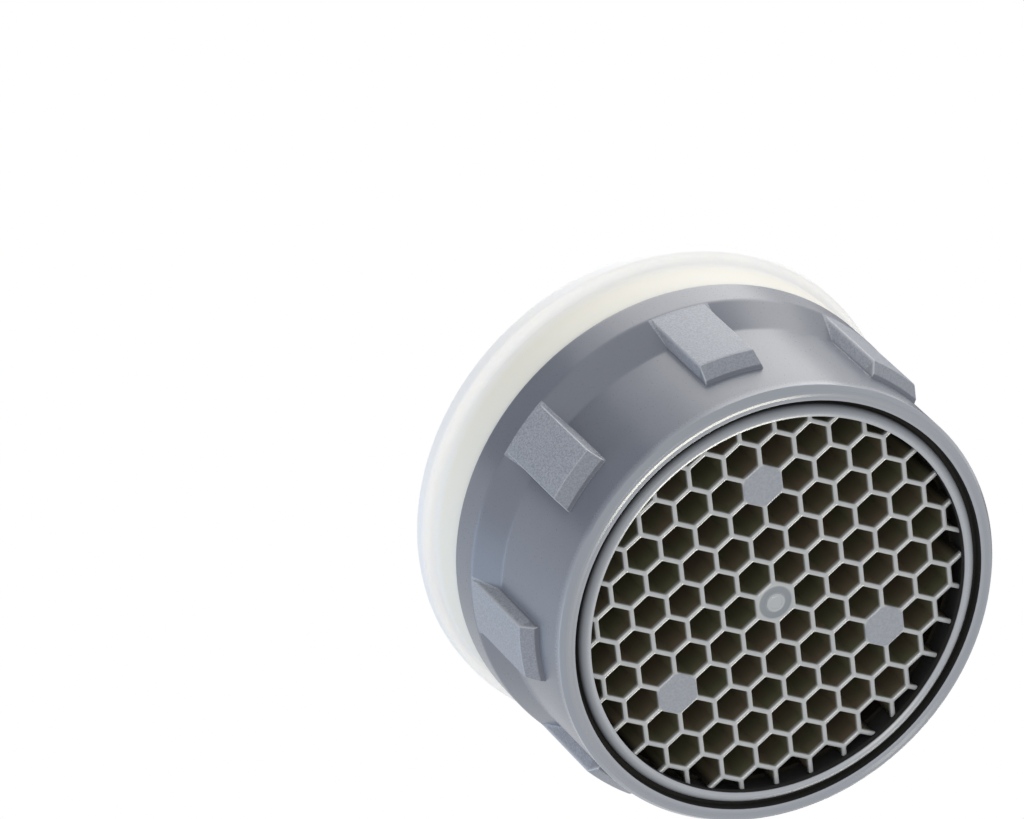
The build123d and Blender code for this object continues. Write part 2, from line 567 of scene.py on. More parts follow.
@dataclass(frozen=True)
class CombPlastic:
    """Grey plastic of the honeycomb, with painted dark olive shade inside the cells, darkest
    towards the outer edge.
    """

    fade_mm: Span
    pads_mm: tuple[Flat, ...]
    pad_mm: float
    gate_mm: Span
    name: str = "honeycomb_grey"
    colour: Colour = (0.410, 0.424, 0.440)
    mottle: Colour = (0.440, 0.452, 0.465)
    pad: Colour = (0.310, 0.329, 0.373)
    pad_speckle: Colour = (0.274, 0.291, 0.331)
    gate: Colour = (0.225, 0.245, 0.275)
    gate_ring: Colour = (0.390, 0.410, 0.435)
    # Painted shade inside the cells, in olive and umber patches, and darker still near the outer
    # edge.
    olive: Colour = (0.112, 0.110, 0.066)
    umber: Colour = (0.128, 0.103, 0.070)
    shade: Colour = (0.022, 0.020, 0.016)
    shade_mm: Span = (8.25, 8.50)
    spot_fade_mm: float = 0.08
    roughness: Span = (0.14, 0.20)
    clouds: Pattern = Pattern(0.5, 3.0, CLOUD_SPAN)
    specks: Pattern = Pattern(0.10, 2.0, SPECK_SPAN)
    shade_patches: Pattern = Pattern(1.8, 2.0, PATCH_SPAN)
    skin: Pattern = Pattern(0.12, 4.0, GLOSS_SPAN)
    skin_depth_mm: float = 0.003
    skin_strength: float = 0.6

    def material(self) -> Finish:
        """Make the material.

        Returns:
            The new material.
        """
        graph = Graph(self.name)
        x, y, z = graph.coordinates()
        flat = graph.add("ShaderNodeCombineXYZ")
        graph.join(x, flat.inputs["X"])
        graph.join(y, flat.inputs["Y"])

        def distance(spot: Flat) -> Socket:
            """Measure how far a place is from an upright line through a spot.

            Args:
                spot: Where the line stands.

            Returns:
                The distance.
            """
            node = graph.add("ShaderNodeVectorMath", operation="DISTANCE")
            node.inputs[1].default_value = (spot[0] * MM, spot[1] * MM, 0.0)
            graph.join(flat.outputs["Vector"], node.inputs[0])
            return node.outputs["Value"]

        front = graph.blend(graph.patches(self.clouds), self.colour, self.mottle)
        pad = graph.blend(graph.patches(self.specks), self.pad_speckle, self.pad)
        middle = (0.0, 0.0)
        spots = [(spot, self.pad_mm, pad) for spot in self.pads_mm]
        spots += [(middle, self.gate_mm[0], self.gate), (middle, self.gate_mm[1], self.gate_ring)]
        for spot, reach, tone in spots:
            fade = (reach * MM, (reach - self.spot_fade_mm) * MM)
            front = graph.blend(graph.ramp(distance(spot), fade), front, tone)
        # Painted shade inside the cells, darker towards the outer edge, faded in below the front.
        deep = graph.blend(graph.patches(self.shade_patches), self.olive, self.umber)
        near, far = (radius * MM for radius in self.shade_mm)
        deep = graph.blend(graph.ramp(distance(middle), (near, far)), deep, self.shade)
        low, high = (height * MM for height in self.fade_mm)
        graph.feed(graph.blend(graph.ramp(z, (low, high)), front, deep), "Base Color")
        graph.skin(self.skin, self.roughness, self.skin_depth_mm, self.skin_strength)
        return graph.material


@dataclass(frozen=True)
class MilkyRubber:
    """Soft translucent white of the seal, cream on the collar and cooler on the flange."""

    name: str = "seal_milky"
    cream: Colour = (0.900, 0.874, 0.788)
    cool: Colour = (0.980, 0.970, 0.978)
    change_mm: Span = (11.00, 11.90)
    roughness: Span = (0.52, 0.62)
    skin: Pattern = Pattern(0.3, 3.0, GLOSS_SPAN)
    skin_depth_mm: float = 0.002
    skin_strength: float = 0.5
    milk: float = 0.5
    milk_reach: Point = (1.0, 0.95, 0.8)
    milk_depth_mm: float = 1.0

    def material(self) -> Finish:
        """Make the material.

        Returns:
            The new material.
        """
        graph = Graph(self.name)
        low, high = (height * MM for height in self.change_mm)
        along = graph.ramp(graph.coordinates()[2], (low, high))
        graph.feed(graph.blend(along, self.cream, self.cool), "Base Color")
        graph.skin(self.skin, self.roughness, self.skin_depth_mm, self.skin_strength)
        graph.shader.inputs["Subsurface Weight"].default_value = self.milk
        graph.shader.inputs["Subsurface Radius"].default_value = self.milk_reach
        graph.shader.inputs["Subsurface Scale"].default_value = self.milk_depth_mm * MM
        return graph.material


def show(piece: Piece, node: str, finish: Finish) -> Piece:
    """Put a new piece in place of its solid, with a finish.

    Args:
        piece: The new piece.
        node: Node of the solid that it stands for.
        finish: Material of the piece.

    Returns:
        The piece.
    """
    piece.data.materials.clear()
    piece.data.materials.append(finish)
    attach(piece, ROOT_BODY)
    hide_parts(node)
    LOG.info("%s: %d faces", piece.name, len(piece.data.polygons))
    return piece


@dataclass
class Housing:
    """Shell with a flange and lugs outside, and an outlet rim, groove and lip below."""

    wall_at_outlet: float = 9.95
    wall_draft_deg: float = 0.5
    wall_start: float = 0.75
    throat: float = 8.78
    bore: float = 9.10
    socket: float = 9.40
    ring_seat: float = 1.60
    splitter_seat: float = 7.20
    cone_bottom: float = 6.00
    cone_rounding: Span = (0.035, 0.05)
    flange_bottom: float = 7.70
    flange_step: float = 0.65
    top: float = 9.37
    top_band: float = 0.2
    top_rounding: Span = (0.07, 0.05)
    lug_count: int = 8
    lug_width: float = 2.62
    lug_side_draft_deg: float = 8.0
    lug_face_draft_deg: float = 0.5
    lug_sink: float = 0.02
    lug_edge: float = 0.12
    lug_tip: float = 2.32
    lug_tip_chamfer: float = 0.62
    lug_tip_step: float = 0.18
    lug_tip_rise: float = 0.02
    lug_tip_rounding: float = 0.06
    lug_fillet: Span = (0.05, 0.015)
    lug_fillet_fade: Span = (1.1, 0.1)
    grain_half_deg: float = 7.4
    grain_shift: float = 0.02
    # Less grain on the lugs' sloping tips, which also paints them darker as shade.
    tip_grain_and_shade: float = 0.5
    # Reach of the painted highlight along the lugs' edges and crests.
    edge_shine: Span = (0.16, 0.07)
    crest_start: float = 0.6
    edge_clear: float = 0.05
    lip_inner: float = 8.58
    lip_crest: float = 8.70
    lip_outer: float = 9.05
    lip_back: float = 0.44
    lip_edge: float = 0.13
    lip_recess: float = 0.08
    lip_rounding: Span = (0.03, 0.10)
    lip_bead: float = 0.32
    # Painted shade above and outside the lip, and painted highlight on its inner edge.
    lip_shade: float = 0.19
    lip_shading: float = 0.45
    lip_shine: Span = (0.35, 0.15)
    bead_start: float = 0.2
    groove_depth: float = 0.62
    groove_draft: float = 0.02
    groove_rounding: Span = (0.08, 0.10)
    # Height above which the groove's wall is painted dark as shade.
    groove_shade: float = 0.10
    rim_inner: float = 9.32
    rim_outer: float = 9.78
    rim_ledge: float = 0.065
    rim_ledge_rounding: float = 0.03
    # Painted highlight on the rim's inner edge: its strength and reach.
    rim_shine: Span = (0.15, 0.04)
    rim_slope: Span = (9.50, 9.66)
    rim_fall: float = 0.01
    rim_rounding: tuple[float, float, float] = (0.10, 0.06, 0.16)
    chamfer_height: float = 0.3
    front_reach: float = 0.06
    face_deg: tuple[float, ...] = (0.0, 1.5, 3.0, 4.5, 5.6, 6.0)
    side_deg: tuple[Point, ...] = ((6.2, 6.9, 0.06), (6.9, 8.0, 0.09))
    gap_deg: tuple[float, ...] = (8.4, 9.2, 10.4, 12.4, 14.6, 17.0, 19.6)
    sharp_deg: float = 50.0

    def wall(self, height: Amount) -> Amount:
        """Radius of the drafted wall at a height."""
        draft = math.tan(math.radians(self.wall_draft_deg))
        return self.wall_at_outlet + (height - self.chamfer_height) * draft

    @property
    def flange(self) -> float:
        """Radius of the flange."""
        return self.wall(self.cone_bottom) + self.flange_step

    @property
    def lug_tip_top(self) -> float:
        """Height where a lug's sloping tip meets its face."""
        return self.lug_tip + self.lug_tip_chamfer

    def outside(self, angle: np.ndarray, height: np.ndarray) -> tuple[np.ndarray, np.ndarray]:
        """Radius of the outer skin, lugs included.

        Args:
            angle: Angles about the axis from a lug's middle, in radians.
            height: Heights, of the same shape.

        Returns:
            Radius at each place, and how near it is to a lug's edge, from 0 to 1, where a
            highlight is painted.
        """
        slope = self.flange_step / (self.flange_bottom - self.cone_bottom)
        cone = self.wall(self.cone_bottom) + (height - self.cone_bottom) * slope
        foot_rounding, flange_rounding = self.cone_rounding
        body = smooth_max(self.wall(height), cone, foot_rounding)
        body = smooth_min(body, self.flange, flange_rounding)
        fall = math.tan(math.radians(self.lug_face_draft_deg))
        flush = self.flange - self.lug_sink
        face = flush - np.maximum(self.flange_bottom - height, 0.0) * fall
        foot = self.wall(self.lug_tip)
        step = self.lug_tip_step
        tip_face = flush - (self.flange_bottom - self.lug_tip_top) * fall
        rise = height - self.lug_tip
        tip = foot + step + rise * (tip_face - foot - step) / self.lug_tip_chamfer
        end = foot + rise * step / self.lug_tip_rise
        draft = math.tan(math.radians(self.lug_side_draft_deg))
        side = (self.lug_width / 2 + foot * draft) / (np.sin(np.abs(angle)) + draft)
        top = smooth_min(face, tip, self.lug_tip_rounding)
        top = smooth_min(top, end, self.lug_tip_rounding)
        lug = smooth_min(top, side, self.lug_edge)
        side_reach, crest_reach = self.edge_shine
        crest = np.where(top < side, self.crest_start + np.abs(face - tip) / crest_reach, 1.0)
        away = np.minimum(np.abs(top - side) / side_reach, crest)
        edge = np.clip(1 - away, 0, 1) * (lug > body + self.edge_clear)
        fade = tuple(self.flange_bottom - drop for drop in self.lug_fillet_fade)
        return smooth_max(body, lug, np.interp(height, fade, self.lug_fillet)), edge

    def angles(self) -> np.ndarray:
        """Angles round the axis, close together at the lugs' sides.

        Returns:
            The angles in radians.
        """
        sector = math.pi / self.lug_count
        sides = [np.arange(*run) for run in self.side_deg]
        half = np.radians(np.concatenate((self.face_deg, *sides, self.gap_deg)))
        half = half[half < sector]
        one = np.concatenate((-half[:0:-1], half, [sector]))
        return np.concatenate([one + 2 * sector * lug for lug in range(self.lug_count)])

    def heights(self) -> np.ndarray:
        """Heights of the rows up the outer skin, close together at its corners.

        Returns:
            The heights.
        """
        tip, tip_top = self.lug_tip, self.lug_tip_top
        cone, flange = self.cone_bottom, self.flange_bottom
        # First height, last height and number of rows.
        runs = (
            (self.wall_start + 0.15, tip - 0.16, 4),
            (tip - 0.10, tip - 0.02, 3),
            (tip - 0.01, tip + 0.03, 11),
            (tip + 0.045, tip + 0.12, 3),
            (tip + 0.22, tip_top - 0.14, 4),
            (tip_top - 0.1, tip_top + 0.1, 9),
            (tip_top + 0.3, cone - 0.4, 6),
            (cone - 0.2, cone + 0.2, 9),
            (cone + 0.45, flange - 0.4, 4),
            (flange - 0.22, flange + 0.22, 10),
            (flange + 0.5, self.top - 0.3, 3),
        )
        return np.concatenate([np.linspace(*run) for run in runs])

    def inside(self) -> list[Flat]:
        """Outline from the flange's top, down the inside and out to the foot of the wall.

        Returns:
            Radius and height of each point.
        """
        groove_foot = self.lip_outer + self.groove_draft
        rim_start, rim_flat = self.rim_slope
        return round_corners(
            (
                Corner(self.flange, self.top - self.top_band),
                Corner(self.flange, self.top, self.top_rounding[0]),
                Corner(self.socket, self.top, self.top_rounding[1]),
                Corner(self.socket, self.splitter_seat),
                Corner(self.bore, self.splitter_seat),
                Corner(self.bore, self.ring_seat),
                Corner(self.throat, self.ring_seat),
                Corner(self.throat, self.lip_back),
                Corner(self.lip_inner, self.lip_back),
                Corner(self.lip_inner, self.lip_shade),
                Corner(self.lip_inner, self.lip_edge, self.lip_rounding[0]),
                Corner(self.lip_crest, self.lip_recess, self.lip_rounding[1]),
                Corner(self.lip_outer, self.lip_recess, self.lip_bead),
                Corner(groove_foot, self.groove_depth, self.groove_rounding[0]),
                Corner(self.rim_inner, self.groove_depth, self.groove_rounding[1]),
                Corner(self.rim_inner, self.groove_shade),
                Corner(self.rim_inner, self.rim_ledge, self.rim_ledge_rounding),
                Corner(rim_start, self.rim_ledge, self.rim_ledge_rounding),
                Corner(rim_flat, 0.0, self.rim_rounding[0]),
                Corner(self.rim_outer, self.rim_fall, self.rim_rounding[1]),
                Corner(self.wall_at_outlet, self.chamfer_height, self.rim_rounding[2]),
                Corner(self.wall(self.wall_start), self.wall_start),
            ),
            closed=False,
        )

    def zones(self, radius: float, height: float) -> dict[Mask, float]:
        """Tell which zones a point of the inner outline lies in.

        Args:
            radius: Radius of the point.
            height: Height of the point.

        Returns:
            The outlet's front, the painted shade of the groove and recesses, and the painted
            highlights on the lip and rim, from 0 to 1.
        """
        # Painted shade: dark inside the housing above the lip, graded down the lip's outer slope,
        # and on the groove's walls deeper than a set height.
        if radius < self.lip_crest:
            deep = float(height > self.lip_shade - NEAR)
        elif radius < self.lip_outer + self.groove_draft + NEAR:
            start = self.lip_recess + self.lip_bead * self.bead_start
            across = (radius - self.lip_crest) / (self.lip_outer - self.lip_crest)
            grade = max(self.lip_shading * across, (height - start) / self.lip_bead)
            deep = float(np.clip(grade, 0.0, 1.0))
        else:
            deep = float(radius < self.socket + NEAR and height > self.groove_shade - NEAR)
        # Painted highlight on the lip's inner edge, fading outwards, and on the rim's inner edge.
        shine = 0.0
        if height < self.lip_shade - NEAR and radius < self.lip_outer:
            strength, reach = self.lip_shine
            shine = strength * float(np.clip(1 - (radius - self.lip_crest) / reach, 0.0, 1.0))
        elif height < self.rim_ledge + NEAR and radius < self.rim_inner + self.rim_shine[1]:
            shine = self.rim_shine[0]
        front = float(height < self.chamfer_height + self.front_reach and deep < 1.0)
        return {Mask.OUTLET: front, Mask.PAINTED_SHADE: deep, Mask.EDGE: shine}

    def grain(self, angle: np.ndarray, height: float) -> np.ndarray:
        """Tell where a row of the outer skin is grained.

        Args:
            angle: Angles about the axis from a lug's middle, in radians.
            height: Height of the row.

        Returns:
            Strength of the grain at each angle, less on the lugs' sloping tips, where it also
            paints the tips darker as shade.
        """
        low, high = self.lug_tip + self.grain_shift, self.flange_bottom + self.grain_shift
        on_lug = (np.abs(angle) < math.radians(self.grain_half_deg)) & (low < height < high)
        return on_lug * (self.tip_grain_and_shade if height < self.lug_tip_top - NEAR else 1.0)

    def build(self) -> Piece:
        """Build the housing with masks of its zones.

        Returns:
            The housing.
        """
        angles = self.angles()
        sector = 2 * math.pi / self.lug_count
        local = (angles + sector / 2) % sector - sector / 2
        rows = [(radius, height, self.zones(radius, height)) for radius, height in self.inside()]
        for height in self.heights():
            radius, edge = self.outside(local, np.full_like(angles, height))
            rows.append((radius, height, {Mask.LUG: self.grain(local, height), Mask.EDGE: edge}))
        skin = Skin()
        rings = []
        masks: dict[Mask, list[np.ndarray]] = {mask: [] for mask in Mask}
        for radius, height, zones in rows:
            level = np.full_like(angles, height)
            ring = np.column_stack((radius * np.cos(angles), radius * np.sin(angles), level))
            rings.append(skin.add_ring(ring.tolist()))
            for mask, values in masks.items():
                values.append(np.broadcast_to(zones.get(mask, 0.0), angles.shape))
        for index, ring in enumerate(rings):
            skin.bridge(ring, rings[(index + 1) % len(rings)])
        made = skin.to_object("housing_shell", self.sharp_deg)
        for mask, values in masks.items():
            layer = made.data.attributes.new(mask.value, "FLOAT", "POINT")
            layer.data.foreach_set("value", np.concatenate(values).astype(np.float32))
        return made

    def dress(self) -> Piece:
        """Build and finish the housing."""
        return show(self.build(), "housing", HousingPlastic().material())


@dataclass
class Honeycomb:
    """Honeycomb disc with crowned wall tops, free wall ends, filled cells and a gate mark."""

    pitch: float = 1.6
    wall: float = 0.26
    wall_top: float = 0.20
    radius: float = 8.62
    front: float = 0.54
    depth: float = 3.0
    free_end: float = 1.06
    ring_radius: float = 9.05
    ring_overlap: float = 0.03
    crown: tuple[Flat, ...] = (
        (0.080, 0.0),
        (0.070, 0.003),
        (0.018, 0.025),
        (0.005, 0.036),
        (0.0, 0.060),
    )
    cell_corner: float = 0.10
    corner_steps: int = 4
    middle_cell: tuple[int, int] = (0, 0)
    pad_cells: tuple[tuple[int, int], ...] = ((2, 2), (-4, 2), (2, -4))
    pad_reach: float = 0.6
    # Depths over which the painted shade of the cells fades in.
    painted_shade_depth: Span = (0.04, 0.22)
    gate_dish: float = 0.78
    gate_dish_depth: float = 0.03
    gate_dish_slope: float = 0.03
    gate_ring: Span = (0.28, 0.42)
    gate_ring_height: float = 0.015
    gate_ring_draft: float = 0.02
    gate_ring_rounding: Span = (0.045, 0.03)
    gate_ring_fade: float = 0.06
    gate_rise: float = 0.01
    overrun: float = 0.2
    segments: int = 360
    gate_segments: int = 96
    sharp_deg: float = 40.0

    @property
    def back(self) -> float:
        """Height of the inlet side."""
        return self.front + self.depth

    def middle_of(self, cell: tuple[int, int]) -> Flat:
        """Middle of the cell in a column and a row of the pattern."""
        column, row = cell
        return self.pitch * (column + row / 2), self.pitch * row * math.sqrt(3) / 2

    def cell_outline(self, apothem: float, rounding: float) -> np.ndarray:
        """Draw a hexagon with rounded corners.

        Args:
            apothem: Distance from the middle to a side.
            rounding: Radius of the corners.

        Returns:
            Points about the middle.
        """
        half = SIXTH_DEG / 2
        bends = np.radians(np.linspace(-half, half, self.corner_steps + 1))
        reach = (apothem - rounding) / math.cos(math.radians(half))
        points = []
        for side in range(6):
            corner = math.radians(half + SIXTH_DEG * side)
            x, y = reach * math.cos(corner), reach * math.sin(corner)
            turns = corner + bends
            points.append(
                np.column_stack((x + rounding * np.cos(turns), y + rounding * np.sin(turns)))
            )
        return np.concatenate(points)

    def meeting_line(self, inner: np.ndarray) -> np.ndarray:
        """Find the line where a cell meets its neighbours.

        Args:
            inner: Points about the cell's middle.

        Returns:
            Points of the line in the same directions.
        """
        angles = np.arctan2(inner[:, 1], inner[:, 0])
        sixth = math.radians(SIXTH_DEG)
        off = (angles + sixth / 2) % sixth - sixth / 2
        reach = self.pitch / 2 / np.cos(off)
        return np.column_stack((reach * np.cos(angles), reach * np.sin(angles)))

    def add_cell(self, skin: Skin, cell: tuple[int, int]) -> None:
        """Add one cell of the pattern, open or filled.

        Args:
            skin: Skin that the cell is added to.
            cell: Column and row of the cell.
        """
        middle = np.array(self.middle_of(cell))
        apothem = (self.pitch - self.wall_top) / 2
        widest = self.crown[0][0]
        outer = self.meeting_line(self.cell_outline(apothem + widest, self.cell_corner + widest))

        def ring(flat: np.ndarray, height: float) -> list[int]:
            """Add a ring of points at a height."""
            level = np.full(len(flat), height)
            return skin.add_ring(np.column_stack((flat + middle, level)).tolist())

        front = ring(outer, self.front)
        back = ring(outer, self.back)
        if cell == self.middle_cell or cell in self.pad_cells:
            skin.faces.append(tuple(front))
            skin.faces.append(tuple(reversed(back)))
            return
        last = front
        for more, sink in self.crown:
            outline = self.cell_outline(apothem + more, self.cell_corner + more)
            step = ring(outline, self.front + sink)
            skin.bridge(last, step)
            last = step
        foot = ring(self.cell_outline((self.pitch - self.wall) / 2, self.cell_corner), self.back)
        skin.bridge(last, foot)
        skin.bridge(foot, back)

    def block(self) -> Piece:
        """Build the pattern as a closed block that reaches past the disc.

        Returns:
            The block.
        """
        skin = Skin()
        reach = math.ceil(2 * self.radius / self.pitch)
        for column in range(-reach, reach + 1):
            for row in range(-reach, reach + 1):
                if math.hypot(*self.middle_of((column, row))) < self.radius + self.pitch:
                    self.add_cell(skin, (column, row))
        made = skin.to_object("honeycomb_disc", CUTTER_SHARP_DEG)
        work = bmesh.new()
        work.from_mesh(made.data)

        def place(point: bmesh.types.BMVert) -> Flat:
            """Rounded place of a point, seen along the axis."""
            return round(point.co.x / MM, 3), round(point.co.y / MM, 3)

        edges = [edge for edge in work.edges if edge.is_boundary]
        middle = (self.front + self.back) / 2 * MM
        above = {place(v): v for edge in edges for v in edge.verts if v.co.z > middle}
        for edge in edges:
            one, other = edge.verts
            if one.co.z < middle:
                work.faces.new((one, other, above[place(other)], above[place(one)]))
        bmesh.ops.recalc_face_normals(work, faces=work.faces)
        work.to_mesh(made.data)
        work.free()
        return made

    def build(self) -> Piece:
        """Trim the pattern to the disc, add its seating ring and mark the gate.

        Returns:
            The honeycomb.
        """
        made = self.block()
        low, high = self.front - self.overrun, self.back + self.overrun
        disc = turn(
            ((0.0, low), (self.radius, low), (self.radius, high), (0.0, high)), self.segments
        )
        change(made, disc.to_object("trim_disc", CUTTER_SHARP_DEG), Cut.KEEP_COMMON)
        seat = self.front + self.free_end
        inner, outer = self.radius - self.ring_overlap, self.ring_radius
        ring = turn(
            ((inner, seat), (outer, seat), (outer, self.back), (inner, self.back)), self.segments
        )
        change(made, ring.to_object("seat_ring", CUTTER_SHARP_DEG), Cut.JOIN)
        self.mark_gate(made)
        tidy_mesh(made.data, self.sharp_deg)
        return made

    def mark_gate(self, made: Piece) -> None:
        """Sink a shallow dish in the middle cell and raise a ring in it.

        Args:
            made: The honeycomb.
        """
        floor = self.front + self.gate_dish_depth
        start = self.front - self.overrun
        wide = self.gate_dish + self.gate_dish_slope
        narrow = self.gate_dish - self.gate_dish_slope
        dish = turn(
            ((0.0, start), (wide, start), (wide, self.front), (narrow, floor), (0.0, floor)),
            self.gate_segments,
        )
        change(made, dish.to_object("gate_dish", CUTTER_SHARP_DEG), Cut.TAKE_AWAY)
        inner, outer = self.gate_ring
        crest = self.front - self.gate_ring_height
        draft = self.gate_ring_draft
        edge, foot = self.gate_ring_rounding
        outline = round_corners(
            (
                Corner(0.0, floor + self.overrun),
                Corner(outer + draft, floor + self.overrun),
                Corner(outer, crest, edge),
                Corner(inner + draft, crest, edge),
                Corner(inner, self.front, foot),
                Corner(0.0, self.front - self.gate_rise),
            ),
            closed=True,
        )
        ring = turn(outline, self.gate_segments)
        change(made, ring.to_object("gate_ring", CUTTER_SHARP_DEG), Cut.JOIN)

    def dress(self) -> Piece:
        """Build and finish the honeycomb.

        Returns:
            The honeycomb.
        """
        low, high = self.painted_shade_depth
        finish = CombPlastic(
            fade_mm=(self.front + low, self.front + high),
            pads_mm=tuple(self.middle_of(cell) for cell in self.pad_cells),
            pad_mm=self.pitch * self.pad_reach,
            gate_mm=(self.gate_dish, self.gate_ring[1] + self.gate_ring_fade),
        )
        return show(self.build(), "honeycomb_straightener", finish.material())


@dataclass
class SealRing:
    """Soft ring at the inlet: a collar, a wider flange and an inner lip over the sieve's rim."""

    socket: float = 9.40
    collar: float = 10.61
    flange: float = 11.06
    hole: float = 8.05
    bottom: float = 9.37
    collar_top: float = 11.90
    top: float = 12.75
    lip_bottom: float = 11.50
    collar_rounding: Span = (0.06, 0.30)
    flange_rounding: Span = (0.13, 0.30)
    hole_rounding: Span = (0.22, 0.05)
    arc_steps: int = 8
    segments: int = 360
    sharp_deg: float = 50.0

    def build(self) -> Piece:
        """Turn the ring's outline with soft edges.

        Returns:
            The ring.
        """
        outline = round_corners(
            (
                Corner(self.socket, self.bottom),
                Corner(self.collar, self.bottom, self.collar_rounding[0]),
                Corner(self.collar, self.collar_top, self.collar_rounding[1]),
                Corner(self.flange, self.collar_top, self.flange_rounding[0]),
                Corner(self.flange, self.top, self.flange_rounding[1]),
                Corner(self.hole, self.top, self.hole_rounding[0]),
                Corner(self.hole, self.lip_bottom, self.hole_rounding[1]),
                Corner(self.socket, self.lip_bottom),
            ),
            closed=True,
            steps=self.arc_steps,
        )
        return turn(outline, self.segments).to_object("seal_ring_soft", self.sharp_deg)

    def dress(self) -> Piece:
        """Build and finish the seal."""
        return show(self.build(), "seal_ring", MilkyRubber().material())


@dataclass
class DomeSieve:
    """Slotted strainer at the inlet: a rim, a sloping skirt and a flat crown."""

    rim: float = 8.55
    foot: float = 8.00
    inner_foot: float = 7.404
    crown: float = 5.50
    inner_crown: float = 5.229
    ledge: float = 10.40
    rim_top: float = 11.50
    top: float = 15.35
    skin: float = 0.5
    rim_rounding: float = 0.06
    crown_rounding: Span = (0.45, 0.2)
    slot_width: float = 0.7
    skirt_slots: int = 16
    skirt_slot_heights: Span = (13.10, 14.50)
    crown_slots: int = 8
    crown_slot_radii: Span = (1.783, 4.879)
    overrun: float = 1.0
    segments: int = 240
    turned_sharp_deg: float = 40.0
    sharp_deg: float = 35.0
    finish: MouldedPlastic = MouldedPlastic(
        "sieve_pale", (0.62, 0.625, 0.62), (0.66, 0.66, 0.65), (0.34, 0.44)
    )

    def cut_slots(self, made: Piece, radii: Span, heights: Span, count: int) -> None:
        """Cut a circle of slots.

        Args:
            made: The sieve.
            radii: Where each slot starts and ends, from the axis.
            heights: Where each slot starts and ends, along the axis.
            count: Number of slots.
        """
        spans = (radii, (-self.slot_width / 2, self.slot_width / 2), heights)
        for number in range(count):
            work = bmesh.new()
            bmesh.ops.create_cube(work, size=1.0)
            size = [(high - low) * MM for low, high in spans]
            centre = [(low + high) / 2 * MM for low, high in spans]
            spin = Matrix.Rotation(2 * math.pi * number / count, 3, "Z")
            bmesh.ops.scale(work, vec=size, verts=work.verts)
            bmesh.ops.translate(work, vec=centre, verts=work.verts)
            bmesh.ops.rotate(work, cent=(0, 0, 0), matrix=spin, verts=work.verts)
            mesh = bpy.data.meshes.new("slot_cutter")
            work.to_mesh(mesh)
            work.free()
            change(made, link("slot_cutter", mesh), Cut.TAKE_AWAY)

    def build(self) -> Piece:
        """Turn the sieve's outline and cut its slots.

        Returns:
            The sieve.
        """
        under = self.top - self.skin
        outline = round_corners(
            (
                Corner(self.inner_foot, self.ledge),
                Corner(self.rim, self.ledge, self.rim_rounding),
                Corner(self.rim, self.rim_top),
                Corner(self.foot, self.rim_top),
                Corner(self.crown, self.top, self.crown_rounding[0]),
                Corner(0.0, self.top),
                Corner(0.0, under),
                Corner(self.inner_crown, under, self.crown_rounding[1]),
                Corner(self.inner_foot, self.rim_top),
            ),
            closed=True,
        )
        made = turn(outline, self.segments).to_object("sieve_dome", self.turned_sharp_deg)
        skirt = (self.crown, 2 * self.foot - self.crown)
        self.cut_slots(made, skirt, self.skirt_slot_heights, self.skirt_slots)
        through = (self.top - 2 * self.skin, self.top + self.overrun)
        self.cut_slots(made, self.crown_slot_radii, through, self.crown_slots)
        tidy_mesh(made.data, self.sharp_deg)
        return made

    def dress(self) -> Piece:
        """Build and finish the sieve."""
        return show(self.build(), "dome_sieve", self.finish.material())


@dataclass
class InnerPieces:
    """Grids and splitter inside the housing, shown as the solids themselves, in near-black olive
    that paints shade inside the housing.
    """

    grids: tuple[str, ...] = ("lower_mixing_grid", "upper_mixing_grid")
    # Near-black finishes: painted shade for the housing's inside.
    grid_finish: MouldedPlastic = MouldedPlastic(
        "grid_olive", (0.048, 0.042, 0.027), (0.058, 0.048, 0.030), (0.36, 0.48)
    )
    splitter: str = "jet_splitter"
    splitter_finish: MouldedPlastic = MouldedPlastic(
        "splitter_olive", (0.050, 0.044, 0.030), (0.060, 0.051, 0.034), (0.36, 0.48)
    )

    def dress(self) -> None:
        """Give each inner solid its finish."""
        finishes = dict.fromkeys(self.grids, self.grid_finish.material())
        finishes[self.splitter] = self.splitter_finish.material()
        for name, finish in finishes.items():
            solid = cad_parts[name]
            solid.data.materials.clear()
            solid.data.materials.append(finish)
            LOG.info("%s: %s", name, finish.name)


@dataclass(frozen=True)
class Lamp:
    """Square soft lamp, aimed at the part, whose level is the light on a surface that faces it."""

    name: str
    toward: Point
    distance: float
    size: float
    level: float
    colour: Colour


@dataclass(frozen=True)
class Card:
    """Square dark card that faces the part and shows in its gloss alone."""

    name: str
    at: Point
    size: float


